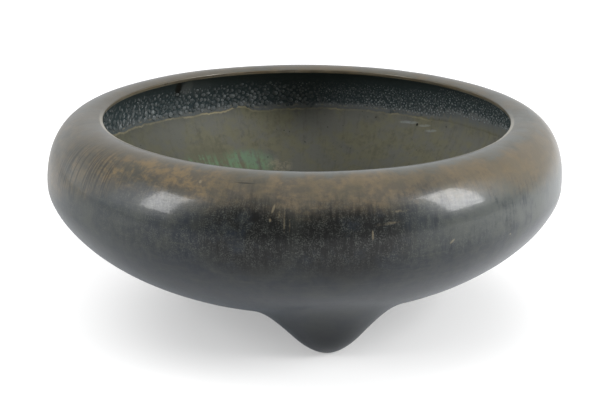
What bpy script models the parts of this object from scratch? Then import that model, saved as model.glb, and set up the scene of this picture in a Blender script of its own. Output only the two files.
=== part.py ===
"""A bronze jardiniere: a squat bowl with a narrowed mouth, cast in one piece with three domed feet.

The feet are hollow from above, so the wall is equally thick all over, as in a casting.
Metres, +Z up. The origin is on the floor below the middle of the bowl. The front foot
points to -Y, turned a little towards +X.
"""
import math

import bmesh
import bpy
from mathutils import Vector
from mathutils.geometry import interpolate_bezier

# Bowl, measured on its outer face
BELLY_RADIUS = 0.210
MOUTH_RADIUS = 0.165
SHOULDER_RISE = 0.0473
BOWL_DEPTH = 0.0966
WALL = 0.004
LIP_ROUNDING = 0.001
FLOOR_GAP = 0.0141

# How the bowl curves: the lip's slope, and how far each stretch runs on before it turns,
# as a share of the width or height that the stretch crosses
LIP_SLOPE = math.radians(23.1)
LIP_RUN = 0.40
SHOULDER_FULLNESS = 0.95
BELLY_FULLNESS = 0.235
UNDERSIDE_FULLNESS = 0.759

# Feet: each is a dome drawn down out of the underside, and leans outwards as it goes down
FOOT_COUNT = 3
FOOT_ROOT_STANCE = 0.1042
FOOT_BEARING = math.radians(8.6)
FOOT_TIP_ROUNDING = 0.111
FOOT_STEEPNESS = 2.11
FOOT_LEAN = 0.40
FOOT_FILLET = 0.0187
PAD_RADIUS = 0.0073

# Fineness of the mesh: the spin has the same count of steps between one foot and the next
STEPS_PER_FOOT = 22
SHOULDER_POINTS = 8
UNDERSIDE_POINTS = 18
FOOT_REACH = 0.052
TIP_REACH = 0.016

# Patinated bronze
BRONZE_COLOUR = (0.075, 0.070, 0.060, 1.0)
BRONZE_METALLIC = 0.75
BRONZE_ROUGHNESS = 0.42

MERGE_DISTANCE = 0.00001

BELLY_HEIGHT = FLOOR_GAP + BOWL_DEPTH
LIP_HEIGHT = BELLY_HEIGHT + SHOULDER_RISE


def clear_scene():
    """Start from an empty file."""
    for obj in list(bpy.data.objects):
        bpy.data.objects.remove(obj, do_unlink=True)


def bronze():
    """Dark brown-green bronze with a dull metal sheen."""
    material = bpy.data.materials.new("bronze")
    material.use_nodes = True
    shader = material.node_tree.nodes["Principled BSDF"]
    shader.inputs["Base Color"].default_value = BRONZE_COLOUR
    shader.inputs["Metallic"].default_value = BRONZE_METALLIC
    shader.inputs["Roughness"].default_value = BRONZE_ROUGHNESS
    return material


def bowl_profile():
    """Points (radius, height) of the outer face, from the lip down to the middle of the underside."""
    lip = Vector((MOUTH_RADIUS, LIP_HEIGHT))
    belly = Vector((BELLY_RADIUS, BELLY_HEIGHT))
    middle = Vector((0.0, FLOOR_GAP))
    lip_run = LIP_RUN * (BELLY_RADIUS - MOUTH_RADIUS)
    lip_handle = lip + lip_run * Vector((math.cos(LIP_SLOPE), math.sin(LIP_SLOPE)))
    shoulder_handle = belly + Vector((0.0, SHOULDER_FULLNESS * SHOULDER_RISE))
    belly_handle = belly - Vector((0.0, BELLY_FULLNESS * BOWL_DEPTH))
    underside_handle = middle + Vector((UNDERSIDE_FULLNESS * BELLY_RADIUS, 0.0))
    shoulder = interpolate_bezier(lip, lip_handle, shoulder_handle, belly, SHOULDER_POINTS)
    underside = interpolate_bezier(belly, belly_handle, underside_handle, middle, UNDERSIDE_POINTS)
    return shoulder + underside[1:]


def spun_skin(name):
    """The outer face as an open skin, with a line of points running through each foot."""
    bearing = FOOT_BEARING - math.pi / 2
    bm = bmesh.new()
    points = [bm.verts.new((r * math.cos(bearing), r * math.sin(bearing), z)) for r, z in bowl_profile()]
    for upper, lower in zip(points, points[1:]):
        bm.edges.new((upper, lower))
    mesh = bpy.data.meshes.new(name)
    bm.to_mesh(mesh)
    bm.free()
    obj = bpy.data.objects.new(name, mesh)
    spin = obj.modifiers.new("spin", "SCREW")
    spin.steps = spin.render_steps = FOOT_COUNT * STEPS_PER_FOOT
    spin.use_merge_vertices = True
    spin.merge_threshold = MERGE_DISTANCE
    return obj


def apply_modifiers(obj):
    """Give the object the mesh that its modifiers make."""
    bpy.context.view_layer.update()
    evaluated = obj.evaluated_get(bpy.context.evaluated_depsgraph_get())
    mesh = bpy.data.meshes.new_from_object(evaluated)
    obj.modifiers.clear()
    obj.data = mesh


def foot_directions():
    """Unit vectors from the bowl's axis towards each foot."""
    bearings = [FOOT_BEARING - math.pi / 2 + math.tau * i / FOOT_COUNT for i in range(FOOT_COUNT)]
    return [Vector((math.cos(b), math.sin(b), 0.0)) for b in bearings]


def dome_height(distance):
    """How far a foot's dome has risen at a distance from its tip: round at first, then straight."""
    return math.hypot(FOOT_STEEPNESS * distance, FOOT_TIP_ROUNDING) - FOOT_TIP_ROUNDING


def lower_of(a, b, fillet):
    """The lower of two heights, with a fillet where they cross."""
    share = min(max(0.5 + 0.5 * (b - a) / fillet, 0.0), 1.0)
    return b + (a - b) * share - fillet * share * (1.0 - share)


def refine(bm, centres, reach):
    """Halve the mesh's edges in a circle around each centre."""
    near = set()
    for edge in bm.edges:
        middle = (edge.verts[0].co + edge.verts[1].co) / 2
        if middle.z < BELLY_HEIGHT and any((middle - c).xy.length < reach for c in centres):
            near.add(edge)
    bmesh.ops.subdivide_edges(bm, edges=list(near), cuts=1, use_grid_fill=True)


def draw_feet(obj):
    """Pull the underside down into the feet, and press a flat pad into each tip."""
    directions = foot_directions()
    centres = [direction * FOOT_ROOT_STANCE for direction in directions]
    bm = bmesh.new()
    bm.from_mesh(obj.data)
    refine(bm, centres, FOOT_REACH)
    refine(bm, centres, TIP_REACH)
    for vert in bm.verts:
        if vert.co.z >= BELLY_HEIGHT:
            continue
        for direction, centre in zip(directions, centres):
            dome = dome_height((vert.co - centre).xy.length) - dome_height(PAD_RADIUS)
            height = max(lower_of(vert.co.z, dome, FOOT_FILLET), 0.0)
            pulled = vert.co.z - height
            vert.co += FOOT_LEAN * pulled * direction - Vector((0.0, 0.0, pulled))
    bm.to_mesh(obj.data)
    bm.free()


def add_wall(obj):
    """Thicken the skin inwards to the cast wall, and round the lip's edges."""
    wall = obj.modifiers.new("wall", "SOLIDIFY")
    wall.thickness = WALL
    wall.offset = -1.0
    wall.use_even_offset = True
    lip = obj.modifiers.new("lip", "BEVEL")
    lip.width = LIP_ROUNDING
    lip.segments = 2
    lip.limit_method = "ANGLE"
    lip.angle_limit = math.radians(60)


def jardiniere(collection):
    """The whole casting."""
    obj = spun_skin("jardiniere")
    collection.objects.link(obj)
    apply_modifiers(obj)
    draw_feet(obj)
    add_wall(obj)
    obj.data.shade_smooth()
    obj.data.set_sharp_from_angle(angle=math.radians(40))
    obj.data.materials.append(bronze())


def main():
    clear_scene()
    collection = bpy.data.collections.new("bronze_jardiniere")
    bpy.context.scene.collection.children.link(collection)
    jardiniere(collection)


main()
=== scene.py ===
"""A patinated bronze jardiniere, cast in one piece with three domed feet, built around its fixed frame.

Run it as a script in Blender 4.5. Metres, +Z up, the front foot towards -Y.
Bearings count in degrees from -Y, and are positive towards +X.
"""

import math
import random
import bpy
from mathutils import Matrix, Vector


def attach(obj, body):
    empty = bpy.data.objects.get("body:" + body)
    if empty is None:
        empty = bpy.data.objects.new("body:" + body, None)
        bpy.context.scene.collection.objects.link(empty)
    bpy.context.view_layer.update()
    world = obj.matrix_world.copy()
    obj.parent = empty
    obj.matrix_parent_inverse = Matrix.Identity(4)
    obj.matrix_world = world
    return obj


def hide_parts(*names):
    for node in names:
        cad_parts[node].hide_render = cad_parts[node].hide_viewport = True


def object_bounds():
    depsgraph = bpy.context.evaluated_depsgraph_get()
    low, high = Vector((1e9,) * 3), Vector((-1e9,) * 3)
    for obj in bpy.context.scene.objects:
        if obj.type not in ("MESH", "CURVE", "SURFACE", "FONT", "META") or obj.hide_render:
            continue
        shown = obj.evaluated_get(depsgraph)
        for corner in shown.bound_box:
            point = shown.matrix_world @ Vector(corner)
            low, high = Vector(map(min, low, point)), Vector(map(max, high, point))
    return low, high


bl_info = {
    "name": "Bronze Jardiniere",
    "version": (1, 0, 0),
    "blender": (4, 5, 0),
    "location": "View3D > Sidebar > Jardiniere",
    "description": "Casts and patinates a bronze jardiniere, and sets it on a pale floor in soft light",
    "category": "Object",
}

import bmesh
import bpy
from bpy.props import FloatProperty, FloatVectorProperty, IntProperty, PointerProperty
from bpy.types import Operator, Panel, PropertyGroup
from mathutils import Matrix, Vector, noise
from mathutils.bvhtree import BVHTree
from mathutils.geometry import interpolate_bezier

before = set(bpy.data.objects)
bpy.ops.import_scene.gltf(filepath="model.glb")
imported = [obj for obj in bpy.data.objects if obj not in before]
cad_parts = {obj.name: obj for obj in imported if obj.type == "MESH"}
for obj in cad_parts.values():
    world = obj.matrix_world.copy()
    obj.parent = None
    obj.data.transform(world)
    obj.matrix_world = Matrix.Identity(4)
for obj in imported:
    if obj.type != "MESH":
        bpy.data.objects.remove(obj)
cad_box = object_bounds()

BELLY = cad_box[1].x

# How the hand-finished face wanders: waves to the metre, and the narrow waves' share of the depth
WIDE_WAVES = 14.0
NARROW_WAVES = 45.0
NARROW_SHARE = 0.3

# How late the mouth's drift sets in above the belly
DRIFT_EASE = 1.5

# Bearings outside at which the dark skin climbs higher, and by how much
DARK_RISES = ((-36.0, 0.009), (33.0, 0.005))

# Marks outside: bearing and height of the middle, half width, half height, and lean where there is one
SOOT_PATCHES = ((-10.0, 0.1260, 0.048, 0.037), (8.0, 0.1235, 0.058, 0.038))
# A painted glow round the highlight of the left soft light
LEFT_GLOW_PATCH = (-38.0, 0.1320, 0.036, 0.024)
AMBER_PATCH = (-33.0, 0.1525, 0.085, 0.014)
COMBED_PATCH = (-52.0, 0.139, 0.070, 0.030)
PALE_STREAKS = (
    (15.2, 0.1331, 0.0118, 0.0012, 3.0),
    (18.2, 0.1402, 0.0090, 0.0010),
    (-3.6, 0.1370, 0.0008, 0.0100),
    (-2.6, 0.1350, 0.0006, 0.0080),
    (-4.6, 0.1400, 0.0006, 0.0070, -4.0),
)
CHIPS = (
    (-5.7, 0.1438, 0.0011, 0.0036, -20.0),
    (-6.2, 0.1369, 0.0010, 0.0013),
    (12.5, 0.1265, 0.0009, 0.0042),
    (28.6, 0.1150, 0.0030, 0.0010, 35.0),
    (-21.3, 0.1549, 0.0014, 0.0011),
    (44.0, 0.1080, 0.0010, 0.0010),
)
DARK_SCRATCHES = (
    (-11.9, 0.1563, 0.0095, 0.0004),
    (-13.4, 0.0986, 0.0012, 0.0012),
    (-6.5, 0.1010, 0.0008, 0.0010),
)

# Marks inside, in the same order
GREEN_PATCHES = ((-146.0, 0.0655, 0.036, 0.014), (-160.0, 0.0640, 0.044, 0.014))
RUST_PATCH = (-171.0, 0.0610, 0.022, 0.0070)
DRIP = (-142.4, 0.1405, 0.0048, 0.0125, -8.0)
DRIP_CRUST = (-145.2, 0.1400, 0.0085, 0.0100)
WIDE_CRUST = (-148.0, 0.1395, 0.0260, 0.0110)
FLAW_PIT = (147.0, 0.1022, 0.0016, 0.0019)
FLAW_SPOTS = ((150.8, 0.1030), (148.6, 0.1033), (144.7, 0.1024), (142.2, 0.0988))
FLAW_STREAK = (0.0085, 0.0016, -8.0)

# Spans of the inner wall with each kind of bead, in degrees from the front by the right
GRIT_SIDE = (90.0, 176.0)
PEBBLE_SIDE = (183.0, 250.0)
TALL_SIDE = (226.0, 248.0)
LIFTED_SIDE = (91.673, 140.375)

# How beads crowd down to the tide line, their least and greatest size and stretch, and their turn
BEAD_CROWDING = 1.35
BEAD_SIZES = (0.5, 1.2)
BEAD_STRETCHES = (0.7, 1.45)
TALL_STRETCH = 2.0
BEAD_TURN = 0.7

# How much smaller the topmost beads are
BEAD_SHRINKING = 0.55

# Gap between beads, in their radii: at the tide line, its growth upwards, and more on the right
BEAD_GAP = 0.80
GAP_GROWTH = 0.35
RIGHT_GAP = 0.25

# Radius of the shoulder where the soft lights shine back
SHINE_RADIUS = 0.203

# Soft lights: bearing and rise of the shine, the light's bearing and elevation, its size and its power
SOFT_LIGHTS = {
    "left_softbox": ((-26.2, 0.029), (-66.0, 26.0), (0.38, 0.80), "left_light"),
    "right_softbox": ((29.7, 0.031), (72.0, 28.0), (0.52, 0.95), "right_light"),
    "left_halo": ((-26.2, 0.029), (-74.0, 24.0), (0.95, 1.15), "halo"),
    "right_halo": ((29.7, 0.031), (76.0, 28.0), (1.15, 1.30), "halo"),
}

# Middle of the shade on the floor, and the distances from it at which the shade starts and stops fading
SHADE_MIDDLE = (0.03, -0.05)
SHADE_FADE = (0.115, 0.235)


class BowlShape(PropertyGroup):
    """The bowl's outer face and its wall."""

    belly_radius: FloatProperty(
        name="Belly radius", description="Radius at the widest level", default=BELLY, unit="LENGTH"
    )
    mouth_radius: FloatProperty(
        name="Mouth radius", description="Radius of the lip's edge", default=0.165, unit="LENGTH"
    )
    shoulder_rise: FloatProperty(
        name="Shoulder rise", description="Height of the lip above the widest level", default=0.0473,
        unit="LENGTH",
    )
    bowl_depth: FloatProperty(
        name="Bowl depth", description="Depth of the underside below the widest level", default=0.0966,
        unit="LENGTH",
    )
    floor_gap: FloatProperty(
        name="Floor gap", description="Height of the underside above the floor", default=0.0141, unit="LENGTH"
    )
    wall: FloatProperty(name="Wall", description="Thickness of the casting", default=0.004, unit="LENGTH")
    lip_rounding: FloatProperty(
        name="Lip rounding", description="Rounding of the lip's two edges", default=0.001, unit="LENGTH"
    )
    lip_slope: FloatProperty(
        name="Lip slope", description="How steeply the shoulder rises from the lip",
        default=math.radians(23.1), unit="ROTATION",
    )
    lip_run: FloatProperty(
        name="Lip run", description="How far that slope runs on, as a share of the shoulder's width",
        default=0.40, subtype="FACTOR",
    )
    shoulder_fullness: FloatProperty(
        name="Shoulder fullness", description="How far the wall rises upright, as a share of the shoulder",
        default=0.95, subtype="FACTOR",
    )
    belly_fullness: FloatProperty(
        name="Belly fullness", description="How far the wall falls upright, as a share of the bowl's depth",
        default=0.235, subtype="FACTOR",
    )
    underside_fullness: FloatProperty(
        name="Underside fullness", description="How flat the underside is, as a share of the belly's radius",
        default=0.759, subtype="FACTOR",
    )
    spin_steps: IntProperty(name="Steps round", description="Steps in the spin", default=330)
    shoulder_points: IntProperty(name="Shoulder points", description="Points from lip to belly", default=36)
    underside_points: IntProperty(
        name="Underside points", description="Points from belly to middle", default=90
    )
    unevenness: FloatProperty(
        name="Unevenness", description="How far the hand-finished face wanders", default=0.0004, unit="LENGTH"
    )
    mouth_drift: FloatProperty(
        name="Mouth drift", description="How far right of the bowl's axis the mouth came out", default=0.0017,
        unit="LENGTH",
    )
    mouth_droop: FloatProperty(
        name="Mouth droop", description="How far the lip's right side lies low, and its left side high",
        default=0.0007, unit="LENGTH",
    )


class FootShape(PropertyGroup):
    """Three domes drawn down out of the underside, leaning outwards."""

    count: IntProperty(name="Feet", description="How many feet", default=3)
    root_stance: FloatProperty(
        name="Stance", description="Distance of a foot's root from the bowl's axis", default=0.1042,
        unit="LENGTH",
    )
    bearing: FloatProperty(
        name="Bearing", description="How far the front foot is turned to the right",
        default=math.radians(8.6), unit="ROTATION",
    )
    tip_rounding: FloatProperty(
        name="Tip rounding", description="How broadly the tip is rounded", default=0.111, unit="LENGTH"
    )
    steepness: FloatProperty(name="Steepness", description="Slope of the flanks", default=2.11)
    lean: FloatProperty(name="Lean", description="Outward lean for each metre down", default=0.40)
    fillet: FloatProperty(
        name="Fillet", description="Height over which a foot runs into the bowl", default=0.0187,
        unit="LENGTH",
    )
    pad_radius: FloatProperty(
        name="Pad radius", description="Radius of the flat worn into the tip", default=0.0073, unit="LENGTH"
    )


class Beads(PropertyGroup):
    """Lime that dried in beads above the tide line."""

    pebble: FloatProperty(
        name="Pebble", description="Radius of the largest beads, at the back on the left", default=0.0034,
        unit="LENGTH",
    )
    grit: FloatProperty(
        name="Grit", description="Radius of the smallest beads, on the right", default=0.0012, unit="LENGTH"
    )
    rise: FloatProperty(
        name="Rise", description="How far the beads reach above the tide line", default=0.024, unit="LENGTH"
    )
    start: FloatProperty(
        name="Start", description="How far above the tide line they start", default=0.0030, unit="LENGTH"
    )
    flatness: FloatProperty(
        name="Flatness", description="How far a bead stands out, as a share of its radius", default=0.17,
        subtype="FACTOR",
    )
    lift: FloatProperty(
        name="Lift", description="How much higher the beads start on the right", default=0.005, unit="LENGTH"
    )
    tries: IntProperty(name="Tries", description="How many beads are tried for a place", default=14000)
    handful: IntProperty(name="Handful", description="How many beads are made in one go", default=30)
    seed: IntProperty(name="Seed", description="Seed of the scatter", default=11)


class Patina(PropertyGroup):
    """Colours of the bronze's skin, outside and inside."""

    slate: FloatVectorProperty(
        name="Slate", description="The blue-grey skin under the belly", subtype="COLOR",
        default=(0.010, 0.0135, 0.0185),
    )
    # Also painted towards the feet as shade
    soot: FloatVectorProperty(
        name="Soot", description="The blackest skin, on the front of the belly", subtype="COLOR",
        default=(0.005, 0.005, 0.0045),
    )
    olive: FloatVectorProperty(
        name="Olive", description="Thin greenish grey between the strokes", subtype="COLOR",
        default=(0.046, 0.048, 0.036),
    )
    ochre: FloatVectorProperty(
        name="Ochre", description="Bronze rubbed through round the shoulder", subtype="COLOR",
        default=(0.125, 0.096, 0.057),
    )
    umber: FloatVectorProperty(
        name="Umber", description="Brown between the rubbed patches", subtype="COLOR",
        default=(0.080, 0.068, 0.049),
    )
    # Also painted on the shoulder's top as sheen, and on the sides as light near the soft lights
    bloom_and_sheen: FloatVectorProperty(
        name="Bloom", description="Thin grey-green bloom on the shoulder's top", subtype="COLOR",
        default=(0.080, 0.088, 0.081),
    )
    amber: FloatVectorProperty(
        name="Amber", description="Warmest spots in the rubbed brown", subtype="COLOR",
        default=(0.172, 0.120, 0.057),
    )
    scratch: FloatVectorProperty(
        name="Scratch", description="Bright bronze in scratches", subtype="COLOR", default=(0.33, 0.27, 0.17)
    )
    hollow: FloatVectorProperty(
        name="Hollow", description="Black skin inside, under the shoulder", subtype="COLOR",
        default=(0.030, 0.045, 0.049),
    )
    lime: FloatVectorProperty(
        name="Lime", description="Grey lime dried on above the tide line", subtype="COLOR",
        default=(0.140, 0.150, 0.148),
    )
    # Bare bronze, also painted along the lip's front edge outside as a highlight
    rubbed: FloatVectorProperty(
        name="Rubbed", description="Bare bronze of the lip's edge", subtype="COLOR",
        default=(0.36, 0.33, 0.26),
    )
    # Painted highlight: the lip's edge in front is painted pale, where it catches the light
    front_lip_highlight: FloatVectorProperty(
        name="Polish", description="The lip's edge in front, where hands polish it", subtype="COLOR",
        default=(0.66, 0.65, 0.59),
    )
    bead: FloatVectorProperty(
        name="Bead", description="Blue-grey lime of the beads", subtype="COLOR", default=(0.135, 0.150, 0.152)
    )
    # Painted glints on the beads, and the pale streaks of the flaw inside
    glint_and_pale_lime: FloatVectorProperty(
        name="Glint", description="Palest, glassiest lime", subtype="COLOR", default=(0.42, 0.47, 0.48)
    )
    tide: FloatVectorProperty(
        name="Tide line", description="Tan line where water stood", subtype="COLOR",
        default=(0.34, 0.30, 0.19),
    )
    silt: FloatVectorProperty(
        name="Silt", description="Olive stain below the tide line", subtype="COLOR",
        default=(0.168, 0.163, 0.106),
    )
    ash: FloatVectorProperty(
        name="Ash", description="Cooler grey within the silt", subtype="COLOR",
        default=(0.150, 0.152, 0.130),
    )
    verdigris: FloatVectorProperty(
        name="Verdigris", description="Green corrosion low on the inside", subtype="COLOR",
        default=(0.18, 0.34, 0.19),
    )


class Stage(PropertyGroup):
    """Floor, light and camera."""

    backdrop: FloatProperty(
        name="Backdrop", description="Brightness of the white studio", default=1.0, subtype="FACTOR"
    )
    dark_side: FloatProperty(
        name="Dark side", description="Brightness of the room on the camera's side", default=0.22,
        subtype="FACTOR",
    )
    far_side: FloatProperty(
        name="Far side", description="Brightness of the room behind the bowl", default=0.80, subtype="FACTOR"
    )
    ceiling: FloatProperty(
        name="Ceiling", description="Brightness of the room overhead", default=0.89, subtype="FACTOR"
    )
    right_side: FloatProperty(
        name="Right side", description="How much brighter the room is on the right", default=0.35,
        subtype="FACTOR",
    )
    left_strip: FloatProperty(
        name="Left strip", description="How much brighter the room is at the far left", default=0.6,
        subtype="FACTOR",
    )
    cool: FloatVectorProperty(
        name="Cool light", description="Tint of the light from low down", subtype="COLOR",
        default=(0.88, 0.94, 1.0),
    )
    floor_colour: FloatVectorProperty(
        name="Floor", description="Colour of the pale floor", subtype="COLOR", default=(0.66, 0.66, 0.66)
    )
    floor_bounce: FloatVectorProperty(
        name="Floor bounce", description="Tint and strength of the glow that the bronze picks up",
        subtype="COLOR", default=(0.10, 0.13, 0.17),
    )
    right_bounce: FloatVectorProperty(
        name="Right bounce", description="Tint and strength of that glow on the right", subtype="COLOR",
        default=(0.75, 0.78, 0.82),
    )
    floor_clouds: FloatVectorProperty(
        name="Floor clouds", description="Colour of the faint clouds in the floor", subtype="COLOR",
        default=(0.9, 0.9, 0.9),
    )
    floor_glow: FloatProperty(
        name="Floor glow", description="Light coming up through the floor", default=0.55, subtype="FACTOR"
    )
    floor_shade: FloatProperty(
        name="Floor shade", description="How much of that glow the eye sees under the bowl", default=0.57,
        subtype="FACTOR",
    )
    left_light: FloatProperty(
        name="Left light", description="Power of the soft light on the left", default=12.2, unit="POWER"
    )
    right_light: FloatProperty(
        name="Right light", description="Power of the soft light on the right", default=24.5, unit="POWER"
    )
    halo: FloatProperty(
        name="Halo", description="Power of the wide, weak light round each soft light", default=4.2,
        unit="POWER",
    )
    light_distance: FloatProperty(
        name="Light distance", description="From the bowl to each soft light", default=1.6, unit="LENGTH"
    )
    camera_distance: FloatProperty(
        name="Camera distance", description="From the bowl's axis, along the floor", default=0.882,
        unit="LENGTH",
    )
    camera_rise: FloatProperty(
        name="Camera rise", description="Height above the belly's widest level", default=0.2708,
        unit="LENGTH",
    )
    camera_tilt: FloatProperty(
        name="Camera tilt", description="How far the camera looks down", default=math.radians(18.87),
        unit="ROTATION",
    )
    camera_turn: FloatProperty(
        name="Camera turn", description="How far the camera looks to the left", default=math.radians(0.23),
        unit="ROTATION",
    )
    camera_roll: FloatProperty(
        name="Camera roll", description="How far the camera leans", default=math.radians(0.15),
        unit="ROTATION",
    )
    lens: FloatProperty(name="Lens", description="Focal length", default=66.14, unit="CAMERA")


class Value:
    """A socket in a material's graph. Arithmetic on it adds Math nodes."""

    def __init__(self, graph, socket):
        self.graph = graph
        self.socket = socket

    def __add__(self, other):
        return self.graph.maths("ADD", self, other)

    def __radd__(self, other):
        return self.graph.maths("ADD", other, self)

    def __sub__(self, other):
        return self.graph.maths("SUBTRACT", self, other)

    def __rsub__(self, other):
        return self.graph.maths("SUBTRACT", other, self)

    def __mul__(self, other):
        return self.graph.maths("MULTIPLY", self, other)

    def __rmul__(self, other):
        return self.graph.maths("MULTIPLY", other, self)

    def __truediv__(self, other):
        return self.graph.maths("DIVIDE", self, other)

    def __rtruediv__(self, other):
        return self.graph.maths("DIVIDE", other, self)

    def __pow__(self, other):
        return self.graph.maths("POWER", self, other)

    def __abs__(self):
        return self.graph.maths("ABSOLUTE", self)


class Graph:
    """The nodes of one material or world."""

    def __init__(self, block, coordinates="Object"):
        block.use_nodes = True
        self.tree = block.node_tree
        self.place = self.node("ShaderNodeTexCoord", output=coordinates)
        self.x = self.node("ShaderNodeSeparateXYZ", sockets={0: self.place}, output="X")
        self.y = self.node("ShaderNodeSeparateXYZ", sockets={0: self.place}, output="Y")
        self.z = self.node("ShaderNodeSeparateXYZ", sockets={0: self.place}, output="Z")
        self.radius = (self.x * self.x + self.y * self.y) ** 0.5
        self.bearing = self.maths("ARCTAN2", self.x, 0.0 - self.y)

    def node(self, kind, settings=None, sockets=None, output=0):
        """Add a node, set it up, fill or link its sockets, and give back one of its outputs."""
        node = self.tree.nodes.new(kind)
        for name, value in (settings or {}).items():
            setattr(node, name, value)
        for name, value in (sockets or {}).items():
            self.feed(node.inputs[name], value)
        return Value(self, node.outputs[output])

    def feed(self, socket, value):
        """Link a value to a socket, or set the socket to a number or colour."""
        if isinstance(value, Value):
            self.tree.links.new(value.socket, socket)
        elif hasattr(value, "__len__") and len(value) == 3 and socket.type == "RGBA":
            socket.default_value = (*value, 1.0)
        else:
            socket.default_value = value

    def paint(self, **sockets):
        """Feed sockets of the surface's shader, named in lower case with _ for a space."""
        shader = self.tree.nodes["Principled BSDF"]
        for name, value in sockets.items():
            self.feed(shader.inputs[name.replace("_", " ").title().replace("Ior", "IOR")], value)

    def maths(self, operation, *values):
        return self.node("ShaderNodeMath", {"operation": operation}, dict(enumerate(values)))

    def larger(self, a, b):
        return self.maths("MAXIMUM", a, b)

    def step(self, value, low, high):
        """0 below low, 1 above high, smooth between; falling where low is above high."""
        settings = {"interpolation_type": "SMOOTHSTEP"}
        return self.node("ShaderNodeMapRange", settings, {"Value": value, "From Min": low, "From Max": high})

    def mix(self, share, under, over):
        """Blend two colours."""
        settings = {"data_type": "RGBA"}
        return self.node("ShaderNodeMix", settings, {0: share, 6: under, 7: over}, output=2)

    def noise(self, place, scale, detail=3.0, roughness=0.55):
        """Cloudy noise between 0 and 1, its scale in spots to the unit."""
        sockets = {"Vector": place, "Scale": scale, "Detail": detail, "Roughness": roughness}
        return self.node("ShaderNodeTexNoise", sockets=sockets)

    def cells(self, place, scale):
        """Distance from the nearest of many scattered points, in steps of their spacing."""
        return self.node("ShaderNodeTexVoronoi", sockets={"Vector": place, "Scale": scale}, output="Distance")

    def bump(self, height, depth, under=None):
        """Turn a height between 0 and 1 into a normal, with its depth in metres."""
        sockets = {"Height": height, "Distance": depth, "Strength": 1.0}
        if under is not None:
            sockets["Normal"] = under
        return self.node("ShaderNodeBump", sockets=sockets, output="Normal")

    def stretched(self, around, along):
        """Coordinates that run round the axis and up it, in units of the given real lengths."""
        share = BELLY / around / self.radius
        sockets = {0: self.x * share, 1: self.y * share, 2: self.z / along}
        return self.node("ShaderNodeCombineXYZ", sockets=sockets)

    def mark(self, bearing, height, half_width, half_height, lean=0.0):
        """1 in the middle of a soft oval on the wall, 0 outside it: bearing and lean in degrees."""
        across = (self.bearing - math.radians(bearing)) * BELLY
        up = self.z - height
        lean = math.radians(lean)
        along = across * math.cos(lean) + up * math.sin(lean)
        aside = up * math.cos(lean) - across * math.sin(lean)
        away = ((along / half_width) ** 2.0 + (aside / half_height) ** 2.0) ** 0.5
        return self.step(away, 1.0, 0.45)


def belly_height(shape):
    return shape.floor_gap + shape.bowl_depth


def bowl_profile(shape):
    """Points (radius, height) of the outer face, from the lip down to the middle of the underside."""
    level = belly_height(shape)
    lip = Vector((shape.mouth_radius, level + shape.shoulder_rise))
    belly = Vector((shape.belly_radius, level))
    middle = Vector((0.0, shape.floor_gap))
    lip_run = shape.lip_run * (shape.belly_radius - shape.mouth_radius)
    lip_handle = lip + lip_run * Vector((math.cos(shape.lip_slope), math.sin(shape.lip_slope)))
    shoulder_handle = belly + Vector((0.0, shape.shoulder_fullness * shape.shoulder_rise))
    belly_handle = belly - Vector((0.0, shape.belly_fullness * shape.bowl_depth))
    underside_handle = middle + Vector((shape.underside_fullness * shape.belly_radius, 0.0))
    shoulder = interpolate_bezier(lip, lip_handle, shoulder_handle, belly, shape.shoulder_points)
    underside = interpolate_bezier(belly, belly_handle, underside_handle, middle, shape.underside_points)
    return shoulder + underside[1:]


def towards(bearing):
    """Unit vector from the bowl's axis towards a bearing, in radians."""
    return Vector((math.sin(bearing), -math.cos(bearing), 0.0))


def dome_height(feet, distance):
    """How far a foot's dome has risen at a distance from its tip: round at first, then straight."""
    return math.hypot(feet.steepness * distance, feet.tip_rounding) - feet.tip_rounding


def lower_of(a, b, fillet):
    """The lower of two heights, with a fillet where they cross."""
    share = min(max(0.5 + 0.5 * (b - a) / fillet, 0.0), 1.0)
    return b + (a - b) * share - fillet * share * (1.0 - share)


def spin_skin(bm, shape):
    """Spin the outer face round the bowl's axis."""
    points = [bm.verts.new((r, 0.0, z)) for r, z in bowl_profile(shape)]
    lines = [bm.edges.new(pair) for pair in zip(points, points[1:])]
    bmesh.ops.spin(
        bm, geom=points + lines, cent=(0, 0, 0), axis=(0, 0, 1), angle=math.tau,
        steps=shape.spin_steps, use_merge=True,
    )
    bmesh.ops.remove_doubles(bm, verts=bm.verts, dist=1e-6)
    bmesh.ops.recalc_face_normals(bm, faces=bm.faces)
    widest = max(bm.faces, key=lambda face: face.calc_center_median().xy.length)
    if widest.normal.dot(widest.calc_center_median()) < 0:
        bmesh.ops.reverse_faces(bm, faces=bm.faces)


def draw_feet(bm, shape, feet):
    """Pull the underside down into the feet, and press a flat pad into each tip."""
    directions = [towards(feet.bearing + math.tau * i / feet.count) for i in range(feet.count)]
    pad_height = dome_height(feet, feet.pad_radius)
    level = belly_height(shape)
    for vert in bm.verts:
        if vert.co.z >= level:
            continue
        for direction in directions:
            away = (vert.co - direction * feet.root_stance).xy.length
            dome = dome_height(feet, away) - pad_height
            height = max(lower_of(vert.co.z, dome, feet.fillet), 0.0)
            pulled = vert.co.z - height
            vert.co += feet.lean * pulled * direction - Vector((0.0, 0.0, pulled))


def finish_by_hand(bm, shape):
    """Let the face wander a little above the pads, as scraping leaves it, and the mouth drift."""
    bm.normal_update()
    level = belly_height(shape)
    moves = {}
    for vert in bm.verts:
        if vert.co.z > shape.wall:
            wide = noise.noise(vert.co * WIDE_WAVES)
            narrow = noise.noise(vert.co * NARROW_WAVES) * NARROW_SHARE
            moves[vert] = vert.normal * shape.unevenness * (wide + narrow)
        if vert.co.z > level:
            share = ((vert.co.z - level) / shape.shoulder_rise) ** DRIFT_EASE
            droop = shape.mouth_droop * vert.co.x / shape.mouth_radius
            moves[vert] += share * Vector((shape.mouth_drift, 0.0, -droop))
    for vert, move in moves.items():
        vert.co += move


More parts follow.
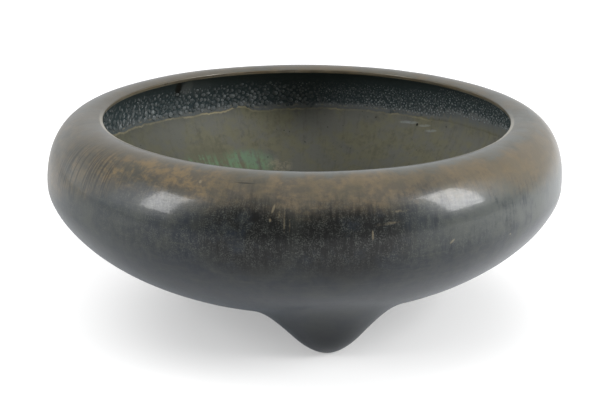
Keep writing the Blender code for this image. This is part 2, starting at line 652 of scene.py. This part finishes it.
def new_piece(name, bm, materials):
    """Make an object of a bmesh, shaded smooth, riding on the frame's only body."""
    mesh = bpy.data.meshes.new(name)
    bm.to_mesh(mesh)
    bm.free()
    mesh.shade_smooth()
    for material in materials:
        mesh.materials.append(material)
    piece = bpy.data.objects.new(name, mesh)
    bpy.context.scene.collection.objects.link(piece)
    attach(piece, "root")
    return piece


def outside_bronze(patina, shape):
    """Dark waxed skin, rubbed through to brown round the shoulder, with a grey bloom on its top."""
    material = bpy.data.materials.new("patinated_outside")
    g = Graph(material)
    level = belly_height(shape)
    side = g.x / g.radius
    mouth = ((g.x - shape.mouth_drift) ** 2.0 + g.y * g.y) ** 0.5
    drift = g.noise(g.place, 16.0, 4.0) - 0.5
    mottle = g.noise(g.place, 60.0, 5.0, 0.65)
    grain = g.noise(g.place, 190.0, 4.0, 0.7)
    speckle = g.noise(g.place, 1250.0, 2.0, 0.7)
    streaks = g.noise(g.stretched(0.0020, 0.014), 1.0, 4.0, 0.7)
    wipes = g.noise(g.stretched(0.030, 0.0018), 1.0, 4.0, 0.65)
    strokes = g.noise(g.stretched(0.0018, 0.030), 1.0, 2.0, 0.6)
    smear = g.noise(g.stretched(0.016, 0.0055), 1.0, 5.0, 0.65)

    # Dark skin, with olive showing through it, paler grey on the right, a painted glow on the left round the
    # left soft light's highlight, and painted shade towards the feet
    upper = g.step(g.z, level - 0.040, level + 0.015)
    right = g.step(side, 0.15, 0.80)
    cloudy = g.step(mottle + drift * 0.8, 0.36, 0.72)
    colour = g.mix(cloudy * (0.30 + upper * 0.35), patina.slate, patina.olive)
    colour = g.mix(g.step(wipes, 0.50, 0.74) * 0.35, colour, patina.olive)
    colour = g.mix(g.step(grain - drift, 0.50, 0.72) * 0.25, colour, patina.olive)
    pale = g.step(mottle - drift * 0.6 + (streaks - 0.5) * 0.8, 0.15, 0.60) * right
    colour = g.mix(pale * g.step(g.z, level - 0.016, level + 0.016) * 0.65, colour, patina.bloom_and_sheen)
    # Painted light: the left side below the belly is made paler, a glow round the left highlight
    painted_left_glow = g.step(side, -0.35, -0.75) * g.step(g.z, level - 0.040, level - 0.005)
    painted_left_glow = g.larger(painted_left_glow * 0.26, g.mark(*LEFT_GLOW_PATCH) * (0.10 + mottle * 0.25))
    colour = g.mix(painted_left_glow, colour, patina.bloom_and_sheen)
    # Painted shade: the skin darkens to soot towards the feet and the middle of the underside
    colour = g.mix(g.step(g.z, 0.050, 0.018) * 0.5, colour, patina.soot)

    # The blackest part, with its flecks
    soot = g.larger(*[g.mark(*place) for place in SOOT_PATCHES])
    colour = g.mix(soot * g.step(mottle + drift * 0.6, 0.25, 0.52), colour, patina.soot)
    flecks = g.step(speckle, 0.50, 0.60) * g.step(streaks + grain, 0.85, 1.10)
    fleck = g.mix(0.45, patina.bloom_and_sheen, patina.olive)
    colour = g.mix(flecks * g.step(g.z, level - 0.020, level + 0.008) * 0.62, colour, fleck)

    # Brown rubbed through round the shoulder
    border = level + 0.037 - side * side * (0.027 - 0.012 * side)
    for bearing, lift in DARK_RISES:
        border = border + g.step(abs(g.bearing - math.radians(bearing)), 0.34, 0.12) * lift
    over = g.z - border + drift * 0.024 + (streaks - 0.5) * 0.010 + (grain - 0.5) * 0.010
    worn = g.mix(g.step(smear + (grain - 0.5) * 0.9, 0.34, 0.66), patina.umber, patina.ochre)
    worn = g.mix(g.step(mottle - drift + (grain - 0.5) * 0.6, 0.42, 0.66) * 0.5, worn, patina.olive)
    amber = 0.15 + g.mark(*AMBER_PATCH) * 0.80
    worn = g.mix(g.step(smear + (grain - 0.5) * 0.7, 0.40, 0.80) * amber, worn, patina.amber)
    # Painted light: the brown is made paler and greyer on the right, towards the right soft light
    worn = g.mix(right * g.step(mottle + drift, 0.30, 0.62) * 0.25, worn, patina.bloom_and_sheen)
    worn = g.mix(right * 0.50, worn, patina.ochre)
    combed = g.step(strokes, 0.48, 0.60) * g.mark(*COMBED_PATCH)
    worn = g.mix(combed * 0.6, worn, patina.soot)
    colour = g.mix(g.step(over, -0.010, 0.010) * 0.95, colour, worn)

    # Grey bloom on the top, partly a painted sheen from the bright room overhead, and a painted highlight
    # along the lip's edge in front
    reach = mouth - side * side * 0.005 + drift * 0.016 + (smear - 0.5) * 0.030
    top = g.step(reach, 0.186, 0.175) * g.step(g.z, level, level + 0.030)
    behind = g.step(g.y, 0.0, 0.10)
    bloom_and_sheen = g.mix(g.step(wipes + (mottle - 0.5) * 0.6, 0.42, 0.62) * 0.7, patina.bloom_and_sheen, patina.olive)
    bloom_and_sheen = g.mix(g.step(wipes - drift, 0.48, 0.66) * (0.30 + behind * 0.45), bloom_and_sheen, patina.ochre)
    bloom_and_sheen = g.mix(behind * 0.35, bloom_and_sheen, patina.umber)
    bloom_and_sheen = g.mix(g.step(side, -0.25, -0.75) * 0.6, bloom_and_sheen, patina.umber)
    # Partly painted sheen: the top is painted paler where it faces the bright room overhead
    colour = g.mix(top * (0.62 + mottle * 0.26), colour, bloom_and_sheen)
    # Painted highlight: a thin pale line along the lip's edge, in front only
    edge = g.step(mouth, shape.mouth_radius + 0.0036, shape.mouth_radius + 0.0022)
    edge = edge * g.step(g.z, level, level + 0.030) * g.step(g.y, 0.01, -0.06)
    colour = g.mix(edge * 0.7, colour, patina.rubbed)

    # Scratches and chips
    for place in PALE_STREAKS:
        colour = g.mix(g.mark(*place) * g.step(grain, 0.38, 0.60) * 0.17, colour, patina.scratch)
    for place in CHIPS:
        colour = g.mix(g.mark(*place) * 0.28, colour, patina.scratch)
    for place in DARK_SCRATCHES:
        colour = g.mix(g.mark(*place) * 0.6, colour, patina.soot)

    # Relief and wax
    normal = g.bump(grain, 0.00005)
    normal = g.bump(streaks, 0.00003, normal)
    wax = 0.10 + g.step(speckle + (streaks - 0.5) * 0.6, 0.34, 0.56) * 0.26
    wax = wax * (0.3 + g.step(g.z, 0.015, 0.080) * 0.7)
    g.paint(base_color=colour, metallic=0.0, roughness=0.26 + mottle * 0.10, ior=1.32, normal=normal)
    g.paint(coat_weight=wax, coat_roughness=0.10)
    return material


def inside_bronze(patina, shape):
    """Black skin under the shoulder, dried lime above an old tide line, silt and verdigris below."""
    material = bpy.data.materials.new("stained_inside")
    g = Graph(material)
    level = belly_height(shape)
    right = g.step(g.bearing, math.radians(152), math.radians(132)) * g.step(g.bearing, 0.0, 1.0)
    left = g.step(g.bearing, math.radians(-158), math.radians(-128)) * g.step(g.bearing, 0.0, -1.0)
    broad = g.noise(g.place, 22.0, 3.0) - 0.5
    mottle = g.noise(g.place, 75.0, 4.0, 0.65)
    grain = g.noise(g.place, 190.0, 4.0, 0.7)
    fine = g.noise(g.place, 420.0, 3.0, 0.7)
    runs = g.noise(g.stretched(0.0040, 0.030), 1.0, 4.0, 0.6)
    teeth = g.noise(g.stretched(0.0034, 0.050), 1.0, 2.0, 0.5) - 0.5
    swell = g.step(abs(g.bearing + math.radians(161.5)), 0.075, 0.02)
    ragged = g.noise(g.stretched(0.007, 0.05), 1.0, 4.0, 0.6) - 0.5
    wander = swell * 0.0040 + broad * 0.006 + ragged * 0.005
    above = g.z - level + 0.0012 - wander

    # Silt below the tide line, with its green and rusty patches
    silt = g.mix(g.step(mottle + broad, 0.35, 0.68), patina.silt, patina.ash)
    silt = g.mix(g.step(runs + (grain - 0.5) * 0.8, 0.46, 0.78) * 0.24, silt, patina.olive)
    silt = g.mix(g.step(grain - broad, 0.48, 0.76) * 0.22, silt, patina.olive)
    silt = g.mix(left * 0.55, silt, patina.olive)
    silt = g.mix(g.step(above, -0.012, -0.002) * g.step(mottle, 0.40, 0.60) * 0.15, silt, patina.olive)
    specks = g.step(g.cells(g.place, 150.0) + fine * 0.4, 0.32, 0.24) * g.step(mottle, 0.50, 0.58)
    silt = g.mix(specks * 0.85, silt, patina.soot)
    silt = g.mix(0.06 + g.step(g.z, 0.085, 0.050) * 0.32, silt, patina.olive)
    green = g.larger(*[g.mark(*place) for place in GREEN_PATCHES])
    green = green * g.step(runs + grain * 0.7 + broad * 0.4, 0.66, 1.00)
    silt = g.mix(green * (0.36 + grain * 0.28), silt, patina.verdigris)
    rust = g.mark(*RUST_PATCH) * g.step(mottle + (fine - 0.5) * 0.5, 0.42, 0.62)
    silt = g.mix(rust * 0.40, silt, patina.tide)

    # Lime above the tide line, with a toothed edge on the right, and the line itself
    scale = g.step(g.cells(g.place, 300.0), 0.52, 0.30) * g.step(above, 0.040, 0.012)
    dust = g.step(above, 0.0072, 0.0036) * g.step(mottle + runs * 0.6, 0.50, 0.80)
    fringe = right * g.step(above + teeth * 0.020, 0.0150, 0.0100)
    limed = g.larger(scale * (0.35 + left * 0.10), g.larger(dust * (0.85 - left * 0.35), fringe * 0.9))
    dark = g.mix(limed, patina.hollow, patina.lime)
    silt = g.mix(g.step(above, 0.0, 0.004) * 0.5, silt, patina.lime)
    toothed = above - right * (0.0065 + teeth * 0.026)
    colour = g.mix(g.step(toothed, -0.0006, 0.0008), silt, dark)
    strength = g.step(g.noise(g.stretched(0.012, 0.05), 1.0, 3.0), 0.42, 0.66) * 0.36
    strength = g.larger(strength + 0.15, g.mark(-156.0, level + 0.001, 0.034, 0.010) * 0.95)
    line = g.step(abs(above + 0.0006 + (fine - 0.5) * 0.0010), 0.0014, 0.0003)
    colour = g.mix(line * strength * (1.0 - right), colour, patina.tide)
    second = g.step(abs(above - 0.0032), 0.0010, 0.0002) * g.step(runs, 0.50, 0.62) * (1.0 - right)
    colour = g.mix(second * 0.35, colour, patina.tide)

    # The drip on the left, and the flaw in the casting on the right
    colour = g.mix(g.mark(*WIDE_CRUST) * 0.22, colour, patina.lime)
    colour = g.mix(g.mark(*DRIP_CRUST) * 0.55, colour, patina.lime)
    colour = g.mix(g.mark(*DRIP), colour, patina.soot)
    for spot in FLAW_SPOTS:
        streak = g.mark(*spot, *FLAW_STREAK) * g.step(fine, 0.30, 0.50)
        colour = g.mix(streak * 0.26, colour, patina.glint_and_pale_lime)
    colour = g.mix(g.mark(*FLAW_PIT), colour, patina.soot)

    # Relief and sheen
    normal = g.bump(limed * g.step(above, 0.0, 0.001), 0.0003)
    normal = g.bump(mottle + fine * 0.5, 0.00012, normal)
    wet = g.step(above, 0.0, 0.004)
    g.paint(base_color=colour, metallic=0.0, roughness=0.70 - wet * 0.25, ior=1.40, normal=normal)
    return material


def lip_bronze(patina):
    """The lip's cut face, rubbed brighter than the rest, with a painted highlight along its front."""
    material = bpy.data.materials.new("rubbed_lip")
    g = Graph(material)
    mottle = g.noise(g.place, 60.0, 4.0, 0.65)
    brushed = g.noise(g.stretched(0.030, 0.0006), 1.0, 3.0)
    colour = g.mix(g.step(mottle, 0.34, 0.66), patina.umber, patina.ochre)
    colour = g.mix(g.step(brushed, 0.40, 0.65) * 0.3, colour, patina.rubbed)
    # Painted highlight: the lip's edge is painted pale in front only
    colour = g.mix(g.step(g.y, -0.03, -0.09) * 0.9, colour, patina.front_lip_highlight)
    g.paint(base_color=colour, metallic=0.2, roughness=0.24 + mottle * 0.1)
    return material


def mineral(patina):
    """Grey lime, cloudy and uneven from bead to bead, glassier on the right, and painted paler there with
    glints.
    """
    material = bpy.data.materials.new("mineral_beads")
    g = Graph(material)
    cloud = g.noise(g.place, 130.0, 2.0, 0.6)
    fine = g.noise(g.place, 900.0, 3.0, 0.6)
    grit = g.step(g.x, 0.02, 0.09)
    # Painted light: the beads on the right are made paler, and pale glints are painted in
    colour = g.mix(g.step(cloud, 0.30, 0.62 - grit * 0.12), patina.hollow, patina.bead)
    colour = g.mix(grit * g.step(fine, 0.50, 0.58) * 0.8, colour, patina.glint_and_pale_lime)
    colour = g.mix(g.step(fine + cloud * 0.4, 0.80, 0.86) * 0.8, colour, patina.glint_and_pale_lime)
    colour = g.mix(g.step(fine, 0.45, 0.75) * 0.5, colour, patina.lime)
    normal = g.bump(fine, 0.0001)
    g.paint(base_color=colour, roughness=0.50 + cloud * 0.25 - grit * 0.30, ior=1.45, normal=normal)
    return material


class JARDINIERE_OT_casting(Operator):
    """Cast the bowl and its feet as one piece"""

    bl_idname = "jardiniere.casting"
    bl_label = "Cast the bowl"

    def execute(self, context):
        shape = context.scene.jardiniere_bowl
        feet = context.scene.jardiniere_feet
        patina = context.scene.jardiniere_patina
        bm = bmesh.new()
        spin_skin(bm, shape)
        draw_feet(bm, shape, feet)
        finish_by_hand(bm, shape)
        finishes = [outside_bronze(patina, shape), inside_bronze(patina, shape), lip_bronze(patina)]
        casting = new_piece("jardiniere_casting", bm, finishes)
        wall = casting.modifiers.new("wall", "SOLIDIFY")
        wall.thickness = shape.wall
        wall.offset = -1.0
        wall.use_even_offset = True
        wall.material_offset = 1
        wall.material_offset_rim = 2
        lip = casting.modifiers.new("lip", "BEVEL")
        lip.width = shape.lip_rounding
        lip.segments = 4
        lip.limit_method = "ANGLE"
        lip.angle_limit = math.radians(60)
        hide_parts("jardiniere")
        return {"FINISHED"}


def within(bearing, span):
    """Whether a bearing in radians lies in a span of degrees by the right."""
    return span[0] < math.degrees(bearing) % 360.0 < span[1]


def bead_radius(beads, bearing, up):
    """Size of a bead: grit on the right, pebbles on the left, and between them behind and in front."""
    if within(bearing, GRIT_SIDE):
        size = beads.grit
    elif within(bearing, PEBBLE_SIDE):
        size = beads.pebble
    else:
        size = 0.5 * (beads.pebble + beads.grit)
    return size * (1.0 - BEAD_SHRINKING * up)


def scatter_beads(beads):
    """Places for beads: bearing, height above the tide line, radius, stretch and turn."""
    rng = random.Random(beads.seed)
    cell = 2.0 * beads.pebble
    taken = {}
    places = []
    for _ in range(beads.tries):
        bearing = rng.uniform(-math.pi, math.pi)
        up = rng.random() ** BEAD_CROWDING
        radius = bead_radius(beads, bearing, up) * rng.uniform(*BEAD_SIZES)
        spot = Vector((bearing * BELLY, beads.start + up * beads.rise))
        home = (int(spot.x // cell), int(spot.y // cell))
        around = [(home[0] + i, home[1] + j) for i in (-1, 0, 1) for j in (-1, 0, 1)]
        near = [other for key in around for other in taken.get(key, ())]
        gap = BEAD_GAP + GAP_GROWTH * up + (RIGHT_GAP if bearing > 0.0 else 0.0)
        if all((spot - other).length > gap * (radius + size) for other, size in near):
            taken.setdefault(home, []).append((spot, radius))
            stretch = rng.uniform(*BEAD_STRETCHES)
            places.append((bearing, spot.y, radius, stretch, rng.uniform(-BEAD_TURN, BEAD_TURN)))
    return places


def handfuls(places, count):
    """The places a few at a time, because bmesh slows down as one mesh fills up."""
    return [places[i:i + count] for i in range(0, len(places), count)]


class JARDINIERE_OT_beads(Operator):
    """Dry beads of lime onto the inner wall above the tide line"""

    bl_idname = "jardiniere.beads"
    bl_label = "Bead the inner wall"

    def execute(self, context):
        beads = context.scene.jardiniere_beads
        level = belly_height(context.scene.jardiniere_bowl)
        casting = bpy.data.objects["jardiniere_casting"]
        wall = BVHTree.FromObject(casting, context.evaluated_depsgraph_get())
        bm = bmesh.new()
        for handful in handfuls(scatter_beads(beads), beads.handful):
            few = bmesh.new()
            for bearing, height, radius, stretch, turn in handful:
                if within(bearing, LIFTED_SIDE):
                    height += beads.lift
                spot, inwards, _, _ = wall.ray_cast(Vector((0.0, 0.0, level + height)), towards(bearing))
                up = (Vector((0.0, 0.0, 1.0)) - inwards * inwards.z).normalized()
                upright = Matrix((up.cross(inwards), up, inwards)).transposed().to_4x4()
                tall = (TALL_STRETCH if within(bearing, TALL_SIDE) else stretch) ** 0.5
                size = Matrix.Diagonal((radius / tall, radius * tall, radius * beads.flatness, 1.0))
                place = Matrix.Translation(spot) @ upright @ Matrix.Rotation(turn, 4, "Z") @ size
                bmesh.ops.create_uvsphere(few, u_segments=7, v_segments=4, radius=1.0, matrix=place)
            mesh = bpy.data.meshes.new("handful")
            few.to_mesh(mesh)
            few.free()
            bm.from_mesh(mesh)
            bpy.data.meshes.remove(mesh)
        new_piece("mineral_beads", bm, [mineral(context.scene.jardiniere_patina)])
        return {"FINISHED"}


def soft_light(stage, level, name):
    """An oblong soft light that a spot on the shoulder shines back to the camera."""
    shine, aim, size, power = SOFT_LIGHTS[name]
    data = bpy.data.lights.new(name, "AREA")
    data.shape = "RECTANGLE"
    data.size, data.size_y = size
    data.energy = getattr(stage, power)
    lamp = bpy.data.objects.new(name, data)
    bpy.context.scene.collection.objects.link(lamp)
    spot = towards(math.radians(shine[0])) * SHINE_RADIUS + Vector((0.0, 0.0, level + shine[1]))
    bearing, elevation = map(math.radians, aim)
    way = towards(bearing) * math.cos(elevation)
    way.z = math.sin(elevation)
    lamp.location = spot + way * stage.light_distance
    lamp.rotation_euler = way.to_track_quat("Z", "Y").to_euler()


def pale_floor(stage):
    """A wide pale floor under the feet, lit a little from within so that its shadows stay soft."""
    bm = bmesh.new()
    bmesh.ops.create_grid(bm, x_segments=1, y_segments=1, size=6.0)
    mesh = bpy.data.meshes.new("floor")
    bm.to_mesh(mesh)
    bm.free()
    material = bpy.data.materials.new("pale_floor")
    g = Graph(material)
    soft = g.noise(g.place, 3.0, 2.0)
    colour = g.mix(soft * 0.05, stage.floor_colour, stage.floor_clouds)
    seen = g.node("ShaderNodeLightPath", output="Is Camera Ray")
    bounce = g.mix(g.step(g.x, -0.05, 0.45), stage.floor_bounce, stage.right_bounce)
    away = ((g.x - SHADE_MIDDLE[0]) ** 2.0 + (g.y - SHADE_MIDDLE[1]) ** 2.0) ** 0.5
    # Painted shadow: the glow the eye sees is darker near the bowl
    bright = g.mix(g.step(away, *SHADE_FADE), (stage.floor_shade,) * 3, (1.0, 1.0, 1.0))
    glow = g.mix(seen, bounce, bright)
    g.paint(base_color=colour, roughness=0.9, emission_color=glow, emission_strength=stage.floor_glow)
    mesh.materials.append(material)
    floor = bpy.data.objects.new("floor", mesh)
    bpy.context.scene.collection.objects.link(floor)


def white_studio(stage):
    """A room that is white to the eye, and darker on the camera's side in what it reflects."""
    world = bpy.data.worlds.new("white_studio")
    g = Graph(world, "Generated")
    behind = g.step(g.y, -0.85, 0.30)
    ceiling = g.step(g.z, 0.34, 0.80)
    right = g.step(g.x, 0.0, 0.9) * stage.right_side
    left = g.step(g.x, -0.70, -0.93) * g.step(g.z, 0.55, 0.15)
    lit = g.larger(stage.dark_side + right, g.larger(behind * stage.far_side, ceiling * stage.ceiling))
    lit = lit + left * stage.left_strip
    seen = g.node("ShaderNodeLightPath", output="Is Camera Ray")
    strength = lit * (1.0 - seen) + seen
    background = world.node_tree.nodes["Background"]
    cool = g.step(g.z, 0.45, -0.05) * (1.0 - seen)
    g.feed(background.inputs["Color"], g.mix(cool, (1.0, 1.0, 1.0), stage.cool))
    g.feed(background.inputs["Strength"], strength * stage.backdrop)
    bpy.context.scene.world = world


class JARDINIERE_OT_stage(Operator):
    """Lay the floor, light it softly and place the camera"""

    bl_idname = "jardiniere.stage"
    bl_label = "Set the stage"

    def execute(self, context):
        stage = context.scene.jardiniere_stage
        level = belly_height(context.scene.jardiniere_bowl)
        pale_floor(stage)
        white_studio(stage)
        for name in SOFT_LIGHTS:
            soft_light(stage, level, name)
        data = bpy.data.cameras.new("camera")
        data.lens = stage.lens
        camera = bpy.data.objects.new("camera", data)
        context.scene.collection.objects.link(camera)
        turn = Matrix.Rotation(stage.camera_turn, 4, "Z")
        tilt = Matrix.Rotation(math.pi / 2 - stage.camera_tilt, 4, "X")
        roll = Matrix.Rotation(stage.camera_roll, 4, "Z")
        place = Matrix.Translation((0.0, -stage.camera_distance, level + stage.camera_rise))
        camera.matrix_world = place @ turn @ tilt @ roll
        context.scene.camera = camera
        context.scene.view_settings.view_transform = "Standard"
        return {"FINISHED"}


class JARDINIERE_PT_sidebar(Panel):
    """The jardiniere's steps and sizes"""

    bl_label = "Jardiniere"
    bl_space_type = "VIEW_3D"
    bl_region_type = "UI"
    bl_category = "Jardiniere"

    def draw(self, context):
        for step in STEPS:
            self.layout.operator(step.bl_idname)
        for name in SETTINGS:
            group = getattr(context.scene, name)
            for key in group.bl_rna.properties.keys():
                if key not in {"rna_type", "name"}:
                    self.layout.prop(group, key)


STEPS = (JARDINIERE_OT_casting, JARDINIERE_OT_beads, JARDINIERE_OT_stage)
SETTINGS = {
    "jardiniere_bowl": BowlShape,
    "jardiniere_feet": FootShape,
    "jardiniere_beads": Beads,
    "jardiniere_patina": Patina,
    "jardiniere_stage": Stage,
}


def register():
    for cls in (*SETTINGS.values(), *STEPS, JARDINIERE_PT_sidebar):
        bpy.utils.register_class(cls)
    for name, group in SETTINGS.items():
        setattr(bpy.types.Scene, name, PointerProperty(type=group))


def unregister():
    for name in SETTINGS:
        delattr(bpy.types.Scene, name)
    for cls in reversed((*SETTINGS.values(), *STEPS, JARDINIERE_PT_sidebar)):
        bpy.utils.unregister_class(cls)


def main():
    register()
    bpy.ops.jardiniere.casting()
    bpy.ops.jardiniere.beads()
    bpy.ops.jardiniere.stage()


if __name__ == "__main__":
    main()
